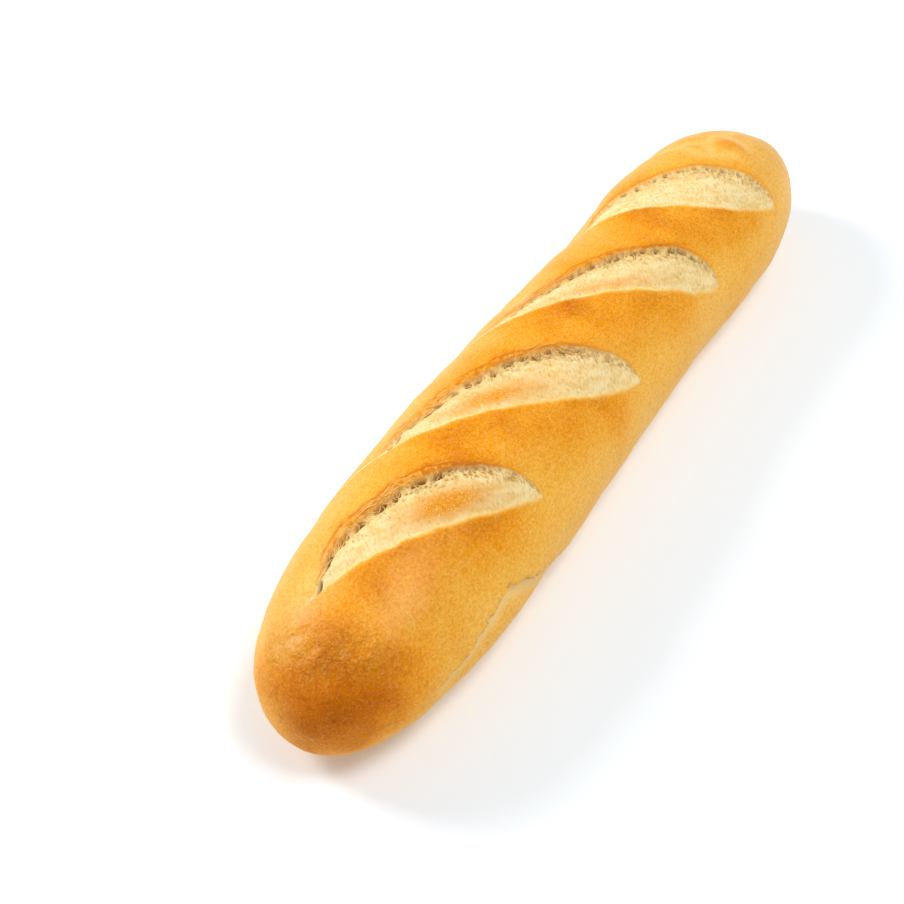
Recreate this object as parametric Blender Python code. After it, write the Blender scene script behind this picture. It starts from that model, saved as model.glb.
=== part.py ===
"""A small baguette: one closed loaf with four slashes across its crown and a burst low on one flank.

Metres, +Z up. The loaf lies along X with its blunt end at -X and its slimmer end at +X, and it rests on
the XY plane on the flat that the baking tray leaves under it. The origin is on that plane, under the
middle of the loaf.

A place on the crust is given by x, the distance along the loaf, and girth, the distance round it from the
top line, counted towards -Y.
"""

from math import atan2, cos, exp, pi, sin

import bmesh
import bpy
import numpy as np
from mathutils import Vector

# The loaf without its cuts
LENGTH = 0.3022
WIDTH = 0.064
HEIGHT = 0.050
BELLY = 0.42  # height of the widest line, as a share of the height
BLUNT_END = (0.796, 4.0)  # length as a share of half the loaf, and fullness
SLIM_END = (0.492, 2.05)
SWELL_AT = (-1.0, -0.55, -0.15, 0.25, 0.65, 1.0)  # stations, as shares of half the length
SWELL = (1.157, 1.0, 0.995, 0.938, 0.996, 1.101)  # width there, as a share of WIDTH
BEND = 0.0029  # sideways bow of the middle, towards +Y
BEND_CENTRE = 0.86  # share of the bow that is taken off again, so that Y = 0 stays in the middle
CROWN_FULLNESS = 2.1  # exponents of the rounded sections: 2 is an ellipse, more is squarer
BASE_FULLNESS = 2.7
TRAY_FLAT = 0.0010  # taken off the underside where the loaf lay on the tray
UNDERSIDE_REACH = 0.6  # below 1, the underside stays low further out towards the tips than the sides stay wide
GIRTH_RADIUS = 0.030  # turns a distance round the loaf into an angle

# The slashes, each along a straight line from start to end, as (x, girth). The lip is how far the far lip
# reaches from that line, and the bulge how far the near edge bows out on its other side. Each of them is a
# leaf shape: its widest, how fast it widens from the start, and how fast it narrows to the end.
SLASHES = (
    {"start": (-0.1250, -0.0100), "end": (-0.0595, 0.0285), "lip": (0.0170, 0.65, 0.60), "bulge": (0.0010, 2.2, 0.8)},
    {"start": (-0.0790, -0.0235), "end": (0.0010, 0.0320), "lip": (0.0156, 1.15, 0.70), "bulge": (0.0042, 2.2, 0.8)},
    {"start": (-0.0150, -0.0230), "end": (0.0585, 0.0350), "lip": (0.0162, 1.15, 0.65), "bulge": (0.0030, 4.0, 1.0)},
    {"start": (0.0500, -0.0240), "end": (0.1060, 0.0310), "lip": (0.0160, 0.70, 0.60), "bulge": (0.0063, 1.8, 0.8)},
)
SLASH_DEPTH = 0.0048
LIP_RISE = 0.0016  # the far lip stands up where the dough tore open
LIP_SPREAD = 0.0075
EDGE_RISE = 0.0006  # the near edge curls up a little
EDGE_SPREAD = 0.0050

# The section of a slash, from its near edge round to its far lip: share of the opening, share of the depth
SLASH_SECTION = (
    (-0.10, 1.0),
    (0.00, -0.02),
    (0.16, -0.14),
    (0.42, -0.18),
    (0.66, -0.42),
    (0.84, -0.82),
    (0.95, -1.00),
    (1.05, -0.80),
    (1.07, -0.40),
    (1.00, 0.06),
    (0.96, 1.2),
)
SLASH_STATIONS = 22
LEAST_OPENING = 0.0007

# The burst low on the flank that faces -Y, where the crust gave way beside the tray
BURST = {"start": (-0.1220, 0.0475), "end": (-0.0520, 0.0560), "lip": (0.0075, 0.60, 0.60), "bulge": (0.0, 1.0, 1.0)}
BURST_DEPTH = 0.0012
BURST_SECTION = ((-0.10, 1.6), (0.00, 0.0), (0.30, -0.30), (0.70, -0.70), (0.96, -1.0), (1.00, 0.10), (1.00, 1.8))
BURST_STATIONS = 14

SIDES = 40
RINGS = 90
RING_CROWDING = 0.75  # 0 spaces the rings evenly, 1 crowds them at the ends


def end_rounding(along):
    """Share of the full width left at this share of half the length: 1 in the middle, 0 at both tips."""
    share = 1.0
    for sign, (reach, fullness) in ((-1, BLUNT_END), (1, SLIM_END)):
        depth = min(max((sign * along - (1 - reach)) / reach, 0.0), 1.0)
        share *= 1 - depth**fullness
    return max(share, 0.0) ** 0.5


SWELL_CURVE = np.polyfit(SWELL_AT, SWELL, len(SWELL_AT) - 1)


def half_width(x):
    along = 2 * x / LENGTH
    return WIDTH / 2 * float(np.polyval(SWELL_CURVE, along)) * end_rounding(along)


def plain_skin(x, angle):
    """The loaf's surface before any cut: angle runs from the top line towards -Y."""
    wide = half_width(x)
    up = cos(angle)
    side = abs(sin(angle))
    if up >= 0:
        fullness = CROWN_FULLNESS
        tall = (1 - BELLY) * wide * 2 * HEIGHT / WIDTH
    else:
        fullness = BASE_FULLNESS
        tall = BELLY * HEIGHT * end_rounding(2 * x / LENGTH) ** UNDERSIDE_REACH
    middle_y = BEND * (1 - BEND_CENTRE - (2 * x / LENGTH) ** 2)
    if wide < 1e-6:
        return Vector((x, middle_y, BELLY * HEIGHT - TRAY_FLAT))
    reach = ((side / wide) ** fullness + (abs(up) / tall) ** fullness) ** (-1 / fullness)
    return Vector((x, middle_y - reach * sin(angle), BELLY * HEIGHT - TRAY_FLAT + reach * up))


def outward(x, angle):
    """Unit normal of the plain skin, from two short steps along it."""
    step_x = 0.0005
    step_angle = 0.01
    along = plain_skin(x + step_x, angle) - plain_skin(x - step_x, angle)
    around = plain_skin(x, angle + step_angle) - plain_skin(x, angle - step_angle)
    return around.cross(along).normalized()


def over_skin(x, girth, height):
    """The point this high above the plain skin."""
    angle = girth / GIRTH_RADIUS
    return plain_skin(x, angle) + outward(x, angle) * height


def leaf(share, widest, rise, fall):
    """Width of a leaf shape at this share of its length."""
    peak = rise / (rise + fall)
    inside = min(max(share, 0.0), 1.0)
    return widest * inside**rise * (1 - inside) ** fall / (peak**rise * (1 - peak) ** fall)


def cut_axes(cut):
    """Start, run of the line, and unit direction across it towards the far lip, in (x, girth)."""
    start = Vector(cut["start"])
    run = Vector(cut["end"]) - start
    across = Vector((run.y, -run.x)).normalized()
    return start, run, across


def cut_edges(cut, share):
    """Distances of the near edge and the far lip from the cut's line."""
    near = -leaf(share, *cut["bulge"])
    far = leaf(share, *cut["lip"])
    return near, max(far, near + LEAST_OPENING)


def in_cut(cut, share, across_by, height):
    """The point at this share of the cut's length, this far across it, this high above the skin."""
    start, run, across = cut_axes(cut)
    place = start + run * share + across * across_by
    return over_skin(place.x, place.y, height)


def crust_rise(x, girth):
    """How far the crust stands up beside the slashes."""
    rise = 0.0
    for cut in SLASHES:
        start, run, across = cut_axes(cut)
        offset = Vector((x, girth)) - start
        share = offset.dot(run) / run.length_squared
        if not 0 < share < 1:
            continue
        beyond = offset.dot(across)
        near, far = cut_edges(cut, share)
        fade = (4 * share * (1 - share)) ** 0.5
        rise += LIP_RISE * fade * exp(-(((beyond - far) / LIP_SPREAD) ** 2))
        rise += EDGE_RISE * fade * exp(-(((beyond - near) / EDGE_SPREAD) ** 2))
    return rise


def material(name, colour, roughness):
    made = bpy.data.materials.new(name)
    made.use_nodes = True
    shader = made.node_tree.nodes["Principled BSDF"]
    shader.inputs["Base Color"].default_value = (*colour, 1.0)
    shader.inputs["Roughness"].default_value = roughness
    shader.inputs["Metallic"].default_value = 0.0
    made.diffuse_color = (*colour, 1.0)
    return made


def add_object(name, bm, collection):
    bmesh.ops.recalc_face_normals(bm, faces=bm.faces[:])
    if bm.calc_volume(signed=True) < 0:
        bmesh.ops.reverse_faces(bm, faces=bm.faces[:])
    mesh = bpy.data.meshes.new(name)
    bm.to_mesh(mesh)
    bm.free()
    made = bpy.data.objects.new(name, mesh)
    collection.objects.link(made)
    return made


def make_cutter(name, cut, section, depth, stations, collection):
    """A ring of section points run along the cut: it starts as a cylinder with a side for each point."""
    bm = bmesh.new()
    points = len(section)
    bmesh.ops.create_cone(bm, cap_ends=True, segments=points, radius1=1, radius2=1, depth=2)
    lengthwise = [edge for edge in bm.edges if abs(edge.verts[0].co.z - edge.verts[1].co.z) > 1]
    bmesh.ops.subdivide_edges(bm, edges=lengthwise, cuts=stations)
    for vertex in bm.verts:
        corner = round(atan2(vertex.co.y, vertex.co.x) / (2 * pi) * points) % points
        share = (vertex.co.z + 1) / 2
        near, far = cut_edges(cut, share)
        across_share, height_share = section[corner]
        deep = depth * (min((far - near) / cut["lip"][0], 1) if height_share < 0 else 1)
        vertex.co = in_cut(cut, share, near + across_share * (far - near), height_share * deep)
    cutter = add_object(name, bm, collection)
    cutter.hide_render = True
    cutter.display_type = "WIRE"
    return cutter


def make_loaf(collection):
    bm = bmesh.new()
    bmesh.ops.create_uvsphere(bm, u_segments=SIDES, v_segments=RINGS, radius=1)
    for vertex in bm.verts:
        even = 1 - 2 * atan2((vertex.co.x**2 + vertex.co.y**2) ** 0.5, vertex.co.z) / pi
        along = (1 - RING_CROWDING) * even + RING_CROWDING * sin(even * pi / 2)
        x = along * LENGTH / 2
        angle = atan2(vertex.co.y, vertex.co.x)
        vertex.co = plain_skin(x, angle)
        if abs(along) < 0.999:
            vertex.co += outward(x, angle) * crust_rise(x, angle * GIRTH_RADIUS)
    everything = bm.verts[:] + bm.edges[:] + bm.faces[:]
    bmesh.ops.bisect_plane(bm, geom=everything, plane_co=(0, 0, 0), plane_no=(0, 0, -1), clear_outer=True)
    rim = [edge for edge in bm.edges if edge.is_boundary]
    bmesh.ops.edgeloop_fill(bm, edges=rim)
    loaf = add_object("loaf", bm, collection)
    loaf.data.shade_smooth()
    loaf.data.materials.append(material("baked_crust", (0.80, 0.40, 0.09), 0.55))
    return loaf


def cut_from(piece, cutter):
    boolean = piece.modifiers.new(cutter.name, "BOOLEAN")
    boolean.operation = "DIFFERENCE"
    boolean.object = cutter


def main():
    for obj in list(bpy.data.objects):
        bpy.data.objects.remove(obj, do_unlink=True)
    parts = bpy.data.collections.new("baguette")
    cutters = bpy.data.collections.new("cutters")
    bpy.context.scene.collection.children.link(parts)
    bpy.context.scene.collection.children.link(cutters)

    loaf = make_loaf(parts)
    for number, cut in enumerate(SLASHES, start=1):
        cut_from(loaf, make_cutter(f"slash_{number}", cut, SLASH_SECTION, SLASH_DEPTH, SLASH_STATIONS, cutters))
    cut_from(loaf, make_cutter("burst", BURST, BURST_SECTION, BURST_DEPTH, BURST_STATIONS, cutters))


main()
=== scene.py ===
# %% [markdown]
# # A small baguette
#
# A baguette is one piece of dough. All that makes it look like bread is on its skin: a smooth crust that is
# deep gold on top and paler down the sides, and four slashes that tore open in the oven and show the crumb.
# So this lesson models one skin, very finely where the slashes are, and then gives it the colours of baking,
# with painted shade in the crumb's holes and low on the blunt tip.
#
# Sizes are in metres. The loaf lies along X, with its blunt end at -X, and rests on the floor at Z = 0.

# %% Load the frame
import math

import bpy
import numpy as np
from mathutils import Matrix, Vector, noise


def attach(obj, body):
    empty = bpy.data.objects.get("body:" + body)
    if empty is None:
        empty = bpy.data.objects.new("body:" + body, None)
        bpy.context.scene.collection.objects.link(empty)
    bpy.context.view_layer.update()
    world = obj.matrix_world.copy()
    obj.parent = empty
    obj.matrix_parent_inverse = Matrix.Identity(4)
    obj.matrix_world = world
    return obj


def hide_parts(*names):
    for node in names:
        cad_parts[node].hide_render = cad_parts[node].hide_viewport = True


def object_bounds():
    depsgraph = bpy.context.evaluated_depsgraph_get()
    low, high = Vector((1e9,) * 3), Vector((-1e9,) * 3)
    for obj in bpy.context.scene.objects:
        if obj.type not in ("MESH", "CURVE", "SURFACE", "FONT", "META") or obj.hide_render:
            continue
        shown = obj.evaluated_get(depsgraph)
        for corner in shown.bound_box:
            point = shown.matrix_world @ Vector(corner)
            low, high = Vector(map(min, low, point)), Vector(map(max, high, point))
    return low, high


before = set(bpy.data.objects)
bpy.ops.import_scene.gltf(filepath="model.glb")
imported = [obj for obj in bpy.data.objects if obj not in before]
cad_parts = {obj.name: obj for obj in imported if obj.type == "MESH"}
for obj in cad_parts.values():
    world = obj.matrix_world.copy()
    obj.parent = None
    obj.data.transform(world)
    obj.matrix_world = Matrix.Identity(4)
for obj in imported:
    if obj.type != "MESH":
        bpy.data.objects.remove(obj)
cad_low, cad_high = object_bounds()
bpy.ops.object.select_all(action="DESELECT")
print("the frame holds", sorted(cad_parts))

# %% [markdown]
# ## The studio
#
# A white floor under soft white lamps shows a crust best: the big lamp behind the loaf on its left gives the
# broad sheen, and the pale room fills the shade. The Standard view keeps creams and yellows clean.
# The camera looks down on the loaf from its blunt end, from a little to one side.

# %% Floor and colour view
scene = bpy.context.scene
scene.view_settings.view_transform = "Standard"
scene.view_settings.look = "None"
scene.view_settings.exposure = 0.0
scene.view_settings.gamma = 1.0

FLOOR_SIZE = 6.0
FLOOR_COLOUR = (0.91, 0.96, 1.0, 1.0)  # a little blue takes up the gold that the loaf throws on it
FLOOR_GLOW = 0.09

bpy.ops.mesh.primitive_plane_add(size=FLOOR_SIZE, location=(0, 0, 0))
floor = bpy.context.object
floor.name = "floor"
floor_white = bpy.data.materials.new("floor_white")
floor_white.use_nodes = True
floor_shader = floor_white.node_tree.nodes["Principled BSDF"]
floor_shader.inputs["Base Color"].default_value = FLOOR_COLOUR
floor_shader.inputs["Roughness"].default_value = 0.9
floor_shader.inputs["Emission Color"].default_value = (0.88, 0.94, 1, 1)
floor_shader.inputs["Emission Strength"].default_value = FLOOR_GLOW
floor_shader.inputs["Specular IOR Level"].default_value = 0.1
floor.data.materials.append(floor_white)

# %% Lamps
ROOM_LIGHT = 0.42


def add_lamp(name, place, aim, size, watts):
    """A square soft lamp at place, turned to face aim."""
    lamp = bpy.data.lights.new(name, "AREA")
    lamp.shape = "SQUARE"
    lamp.size = size
    lamp.energy = watts
    holder = bpy.data.objects.new(name, lamp)
    holder.location = place
    holder.rotation_euler = (Vector(aim) - Vector(place)).to_track_quat("-Z", "Y").to_euler()
    scene.collection.objects.link(holder)
    return holder


add_lamp("window", (-0.20, 0.95, 0.68), (0, 0, 0.02), 0.36, 8.2)
add_lamp("overhead", (0.12, -0.42, 1.10), (0, 0, 0), 0.5, 6.8)
room = bpy.data.worlds.new("room")
room.use_nodes = True
room.node_tree.nodes["Background"].inputs["Color"].default_value = (1, 1, 1, 1)
room.node_tree.nodes["Background"].inputs["Strength"].default_value = ROOM_LIGHT
scene.world = room

# %% Camera
CAMERA_HEIGHT_ANGLE = math.radians(47.0)
CAMERA_SIDE_ANGLE = math.radians(31.95)
CAMERA_DISTANCE = 0.4629
CAMERA_SLIDE = (-0.0375, -0.0069)  # to its own right and up
CAMERA_SIDEWAYS = -0.0025
LENS = 55.0

towards_camera = Vector((
    -math.cos(CAMERA_HEIGHT_ANGLE) * math.cos(CAMERA_SIDE_ANGLE),
    -math.cos(CAMERA_HEIGHT_ANGLE) * math.sin(CAMERA_SIDE_ANGLE),
    math.sin(CAMERA_HEIGHT_ANGLE),
))
camera_right = Vector((0, 0, 1)).cross(towards_camera).normalized()
camera_up = towards_camera.cross(camera_right)
camera_data = bpy.data.cameras.new("camera")
camera_data.lens = LENS
camera_data.clip_start = 0.01
camera = bpy.data.objects.new("camera", camera_data)
camera.location = (
    towards_camera * CAMERA_DISTANCE
    + camera_right * CAMERA_SLIDE[0]
    + camera_up * CAMERA_SLIDE[1]
    + Vector((0, CAMERA_SIDEWAYS, 0))
)
camera.rotation_euler = (-towards_camera).to_track_quat("-Z", "Y").to_euler()
scene.collection.objects.link(camera)
scene.camera = camera
print("the camera is", round(camera.location.length, 3), "metres away")

# %% [markdown]
# ## The shape of the loaf before it is cut
#
# Dough that is rolled and proved has a rounded crown, a fuller underside and a flat where it lay on the tray.
# Every section across it is a rounded "superellipse". The width follows a smooth curve along the loaf and
# runs down to nothing at both ends. A place on the crust is given by x and by girth, the distance round
# from the top line, so a slash can be drawn on it like on paper that is then wrapped round the loaf.

# %% The plain loaf
LENGTH = cad_high.x - cad_low.x
WIDTH = 0.064
HEIGHT = 0.050
BELLY = 0.42  # height of the widest line, as a share of the height
BLUNT_END = (0.796, 4.0)  # length as a share of half the loaf, and fullness
SLIM_END = (0.492, 2.05)
SWELL_AT = (-1.0, -0.55, -0.15, 0.25, 0.65, 1.0)  # stations, as shares of half the length
SWELL = (1.157, 1.0, 0.995, 0.938, 0.996, 1.101)  # width there, as a share of WIDTH
BEND = 0.0029  # sideways bow of the middle, towards +Y
BEND_CENTRE = 0.86  # share of the bow that is taken off again, so that Y = 0 stays in the middle
CROWN_FULLNESS = 2.1  # 2 is an ellipse, more is squarer
BASE_FULLNESS = 2.7
TRAY_FLAT = 0.0010  # taken off the underside
UNDERSIDE_REACH = 0.6
GIRTH_RADIUS = 0.030  # turns a distance round the loaf into an angle
swell_curve = np.polyfit(SWELL_AT, SWELL, len(SWELL_AT) - 1)


def end_rounding(along):
    """Share of the full width left at each place: 1 in the middle, 0 at both tips."""
    share = np.ones_like(along)
    for sign, (reach, fullness) in ((-1, BLUNT_END), (1, SLIM_END)):
        depth = np.clip((sign * along - (1 - reach)) / reach, 0, 1)
        share = share * (1 - depth**fullness)
    return np.sqrt(np.maximum(share, 1e-9))


def plain_skin(x, angle):
    """Points of the uncut loaf; angle runs from the top line towards -Y."""
    along = 2 * x / LENGTH
    ends = end_rounding(along)
    wide = WIDTH / 2 * np.polyval(swell_curve, along) * ends
    up = np.cos(angle)
    crown = up >= 0
    fullness = np.where(crown, CROWN_FULLNESS, BASE_FULLNESS)
    above = (1 - BELLY) * wide * 2 * HEIGHT / WIDTH
    below = BELLY * HEIGHT * ends**UNDERSIDE_REACH
    tall = np.where(crown, above, below)
    side = np.abs(np.sin(angle))
    reach = ((side / wide) ** fullness + (np.abs(up) / tall) ** fullness) ** (-1 / fullness)
    middle_y = BEND * (1 - BEND_CENTRE - along**2)
    z = BELLY * HEIGHT - TRAY_FLAT + reach * up
    return np.stack([x, middle_y - reach * np.sin(angle), z], axis=-1)


def outward(x, angle):
    """Unit normals of the plain loaf, from two short steps along it."""
    inside = LENGTH / 2 * 0.9995
    step_x = 0.0004
    step_angle = 0.01
    ahead = plain_skin(np.clip(x + step_x, -inside, inside), angle)
    behind = plain_skin(np.clip(x - step_x, -inside, inside), angle)
    around = plain_skin(x, angle + step_angle) - plain_skin(x, angle - step_angle)
    normal = np.cross(around, ahead - behind)
    return normal / np.maximum(np.linalg.norm(normal, axis=-1, keepdims=True), 1e-12)


print("the plain loaf is", round(LENGTH, 4), "metres long")

# %% [markdown]
# ## Where the slashes lie
#
# The baker's blade goes in at a slant, so each slash opens on one side: its near edge stays almost straight
# and its far edge lifts into a lip, the "ear". Each slash is a line on the wrapped paper. The lip is how far
# the far edge reaches from the line, and the bulge how far the near edge bows out on the other side. Both are
# leaf shapes: the widest place, how fast it widens and how fast it narrows. Some cuts began as a fine score
# before they opened, and that is the tail. The gap says how far a slash tore open, 1 for the most.

# %% Slashes and their own coordinates
MILLIMETRE = 0.001
SLASHES = (  # tail, scored and closing are shares of the length
    {
        "start": (-0.1250, -0.0100), "end": (-0.0595, 0.0285),
        "lip": (0.0170, 0.65, 0.60), "bulge": (0.0010, 2.2, 0.8),
        "tail": 0.10, "scored": 0.05, "closing": (0.66, 0.90), "gap": 1.0,
        "toast": (0.60, 0.17, 0.24, 0.22, 1.25),
    },
    {
        "start": (-0.0790, -0.0235), "end": (0.0010, 0.0320),
        "lip": (0.0156, 1.15, 0.70), "bulge": (0.0042, 2.2, 0.8),
        "tail": 0.20, "scored": -0.10, "closing": (0.68, 0.93), "gap": 0.75,
        "toast": (0.45, 0.17, 0.22, 0.20, 1.0),
    },
    {
        "start": (-0.0150, -0.0230), "end": (0.0585, 0.0350),
        "lip": (0.0162, 1.15, 0.65), "bulge": (0.0030, 4.0, 1.0),
        "tail": 0.20, "scored": -0.10, "closing": (0.72, 0.95), "gap": 0.6,
        "toast": (0.48, 0.22, 0.13, 0.12, 0.6),
    },
    {
        "start": (0.0500, -0.0240), "end": (0.1060, 0.0310),
        "lip": (0.0160, 0.70, 0.60), "bulge": (0.0063, 1.8, 0.8),
        "tail": 0.16, "scored": -0.08, "closing": (0.55, 0.85), "gap": 0.25,
        "toast": (0.45, 0.05, 0.10, 0.06, 0.15),
    },
)
LEAST_OPENING = 0.0005
TAIL_OPENING = 0.0014


def smooth_step(low, high, value):
    """0 below low, 1 above high, and a soft S between."""
    share = np.clip((value - low) / (high - low), 0, 1)
    return share * share * (3 - 2 * share)


def bump_at(value, centre, spread):
    """A soft bump of height 1 at centre."""
    return np.exp(-(((value - centre) / spread) ** 2))


def wander(values, size, seed):
    """A smooth random line between about -1 and 1, with this distance between its waves."""
    stations = np.linspace(values.min(), values.max(), 600)
    line = [2 * noise.noise((station / size, seed, seed * 0.37)) for station in stations]
    return np.interp(values, stations, line)


def leaf(share, widest, rise, fall):
    """Width of a leaf shape at each share of its length."""
    peak = rise / (rise + fall)
    inside = np.clip(share, 0, 1)
    return widest * inside**rise * (1 - inside) ** fall / (peak**rise * (1 - peak) ** fall)


def cut_axes(cut):
    start = np.array(cut["start"])
    run = np.array(cut["end"]) - start
    across = np.array([run[1], -run[0]]) / np.linalg.norm(run)
    return start, run, across


def cut_place(cut, x, girth):
    """Share of the cut's length and distance from its line, for places on the crust."""
    start, run, across = cut_axes(cut)
    offset = np.stack([x, girth], axis=-1) - start
    return offset @ run / (run @ run), offset @ across


def cut_edges(cut, share):
    """Distances of the near edge and the far lip from the cut's line."""
    near = -leaf(share, *cut["bulge"])
    score = TAIL_OPENING * smooth_step(-cut["tail"], -0.02, share) * (1 - smooth_step(0, 0.25, share))
    far = np.maximum(leaf(share, *cut["lip"]), score)
    return near, np.maximum(far, near + LEAST_OPENING)

# %% [markdown]
# ## The burst low on the flank
#
# Where the crust was weakest, beside the tray, it gave way and slid down. That left a ragged step with a
# pale band below it. The step is two shallow arcs that meet in a point.

# %% The line of the burst
BURST_LINE = (  # x and girth
    (-0.1225, 0.0475), (-0.1157, 0.0460), (-0.1073, 0.0442), (-0.0971, 0.0412),
    (-0.0914, 0.0403), (-0.0883, 0.0391), (-0.0856, 0.0379), (-0.0812, 0.0408),
    (-0.0761, 0.0442), (-0.0703, 0.0471), (-0.0578, 0.0515), (-0.0500, 0.0540),
)
BURST_START = (-0.1215, -0.1120)  # x over which it opens, and closes again
BURST_END = (-0.0600, -0.0520)
BURST_BAND = 0.0062


def below_burst(x, girth):
    """Distance below the burst's step, and how strong the burst is there."""
    ragged = 0.0006 * wander(x, 0.004, 51.0) + 0.00025 * wander(x, 0.0013, 57.0)
    below = girth - np.interp(x, *np.array(BURST_LINE).T) - ragged
    strength = smooth_step(*BURST_START, x) * (1 - smooth_step(*BURST_END, x)) * (girth > 0)
    return below, strength

# %% [markdown]
# ## A skin that is fine where it matters
#
# The skin starts as a UV sphere whose poles become the two tips, with its sides crowded towards the top of
# the loaf. About one millimetre between points is enough for smooth crust, but the crumb needs a third of
# that. So the faces round each slash and the burst are selected and subdivided before anything is shaped.

# %% Start from a sphere and subdivide round the slashes
SIDES = 124
RINGS = 264
RING_CROWDING = 0.35  # 0 spaces the rings evenly, 1 crowds them at the tips
TOP_CROWDING = 0.30
TIP_GAP = 0.99999  # keeps the tips off the exact ends, where the section has no width
FINE_CUTS = 2
NEAR_MARGIN = 0.0016
FAR_MARGIN = 0.0030

bpy.ops.mesh.primitive_uv_sphere_add(segments=SIDES, ring_count=RINGS, radius=1)
loaf = bpy.context.object
loaf.name = "baguette"
loaf.data.name = "baguette"


def skin_places(mesh):
    """x and angle of each point of the sphere once it is drawn out into the loaf."""
    count = len(mesh.vertices)
    flat = np.empty(count * 3)
    mesh.vertices.foreach_get("co", flat)
    points = flat.reshape(count, 3)
    polar = np.arctan2(np.hypot(points[:, 0], points[:, 1]), points[:, 2])
    even = 1 - 2 * polar / math.pi
    along = (1 - RING_CROWDING) * even + RING_CROWDING * np.sin(even * math.pi / 2)
    turn = np.arctan2(points[:, 1], points[:, 0])
    return along * LENGTH / 2 * TIP_GAP, turn - TOP_CROWDING * np.sin(turn)


def needs_fine_mesh(x, girth):
    """True for places that the fine mesh has to cover."""
    below, strength = below_burst(x, girth)
    inside = (strength > 0.02) & (below > -0.0012) & (below < 0.0022)
    for cut in SLASHES:
        share, beyond = cut_place(cut, x, girth)
        near, far = cut_edges(cut, share)
        along_cut = (share > -cut["tail"]) & (share < 1.02)
        inside |= along_cut & (beyond > near - NEAR_MARGIN) & (beyond < far + FAR_MARGIN)
    return inside


places_x, places_angle = skin_places(loaf.data)
fine = needs_fine_mesh(places_x, places_angle * GIRTH_RADIUS)
bpy.ops.object.mode_set(mode="EDIT")
bpy.ops.mesh.select_all(action="DESELECT")
bpy.ops.object.mode_set(mode="OBJECT")
for face in loaf.data.polygons:
    face.select = bool(fine[list(face.vertices)].all())
bpy.ops.object.mode_set(mode="EDIT")
bpy.ops.mesh.select_mode(type="FACE")
bpy.ops.mesh.subdivide(number_cuts=FINE_CUTS)
bpy.ops.object.mode_set(mode="OBJECT")
x, angle = skin_places(loaf.data)
girth = angle * GIRTH_RADIUS
print("the skin has", len(loaf.data.vertices), "points")

# %% [markdown]
# ## The section across a slash
#
# Seen in section, the crust curls up a little to a crisp near edge. The pale crumb starts there, domes, dives
# into a valley and comes back up as the torn wall of the lip. The lip stands proud, and the crust behind it
# is a mound that fades out. Towards its end a slash never tore fully, and there the crumb just meets the
# crust. Both sections are drawn with a few points and a smooth curve through them: where the skin's point
# was, as a share of the opening; where it goes; and its height in millimetres.

# %% Two sections through the slash
OPEN_SECTION = (
    (-2.00, -2.00, 0.0),
    (-1.10, -1.10, 0.0),
    (-0.60, -0.60, 0.20),
    (-0.28, -0.28, 0.55),
    (-0.08, -0.08, 0.82),
    (-0.01, -0.005, 0.72),
    (0.03, 0.025, 0.45),
    (0.08, 0.075, 0.25),
    (0.18, 0.185, 0.35),
    (0.36, 0.38, 0.65),
    (0.52, 0.555, 0.70),
    (0.64, 0.685, 0.50),
    (0.72, 0.765, 0.15),
    (0.77, 0.80, -0.12),
    (0.82, 0.845, -0.32),
    (0.86, 0.878, -0.28),
    (0.90, 0.908, 0.0),
    (0.94, 0.938, 0.42),
    (0.98, 0.968, 0.90),
    (1.02, 1.0, 1.28),
    (1.08, 1.06, 1.52),
    (1.22, 1.20, 1.50),
    (1.55, 1.55, 1.05),
    (2.00, 2.00, 0.50),
    (2.60, 2.60, 0.10),
    (3.20, 3.20, 0.0),
    (4.00, 4.00, 0.0),
)
CLOSED_SECTION = (
    (-2.00, -2.00, 0.0),
    (-1.10, -1.10, 0.0),
    (-0.60, -0.60, 0.15),
    (-0.28, -0.28, 0.40),
    (-0.08, -0.08, 0.52),
    (-0.01, -0.01, 0.42),
    (0.03, 0.03, 0.20),
    (0.08, 0.08, 0.0),
    (0.18, 0.18, 0.0),
    (0.36, 0.36, 0.15),
    (0.52, 0.52, 0.15),
    (0.64, 0.64, 0.05),
    (0.72, 0.72, -0.10),
    (0.77, 0.77, -0.25),
    (0.82, 0.82, -0.45),
    (0.86, 0.86, -0.60),
    (0.90, 0.90, -0.65),
    (0.94, 0.94, -0.50),
    (0.98, 0.98, -0.15),
    (1.02, 1.02, 0.15),
    (1.08, 1.08, 0.35),
    (1.22, 1.22, 0.50),
    (1.55, 1.55, 0.45),
    (2.00, 2.00, 0.25),
    (2.60, 2.60, 0.05),
    (3.20, 3.20, 0.0),
    (4.00, 4.00, 0.0),
)
STEPS_BETWEEN = 12


def smooth_through(points):
    """A dense Catmull-Rom curve through the points, as one array of columns."""
    knots = np.array(points, float)
    padded = np.vstack([2 * knots[0] - knots[1], knots, 2 * knots[-1] - knots[-2]])
    share = np.linspace(0, 1, STEPS_BETWEEN, endpoint=False)[:, None]
    runs = []
    for before, first, second, after in zip(padded, padded[1:], padded[2:], padded[3:]):
        bend = 2 * before - 5 * first + 4 * second - after
        twist = 3 * first - before - 3 * second + after
        runs.append(0.5 * (2 * first + (second - before) * share + bend * share**2 + twist * share**3))
    return np.vstack(runs + [knots[-1:]])


OPEN_CURVE = smooth_through(OPEN_SECTION)
CLOSED_CURVE = smooth_through(CLOSED_SECTION)


def read_curve(curve, where):
    """Place and height on the curve, for points that were at these shares of the opening."""
    return np.interp(where, curve[:, 0], curve[:, 1]), np.interp(where, curve[:, 0], curve[:, 2])


print("each section has", len(OPEN_CURVE), "points")

# %% [markdown]
# Dough never tears straight, so both edges of a slash wander a little on their way along it. One function
# knows where they are at each share of the length, and how far the slash tore open there. Another one reads
# the two sections and blends them.

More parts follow.
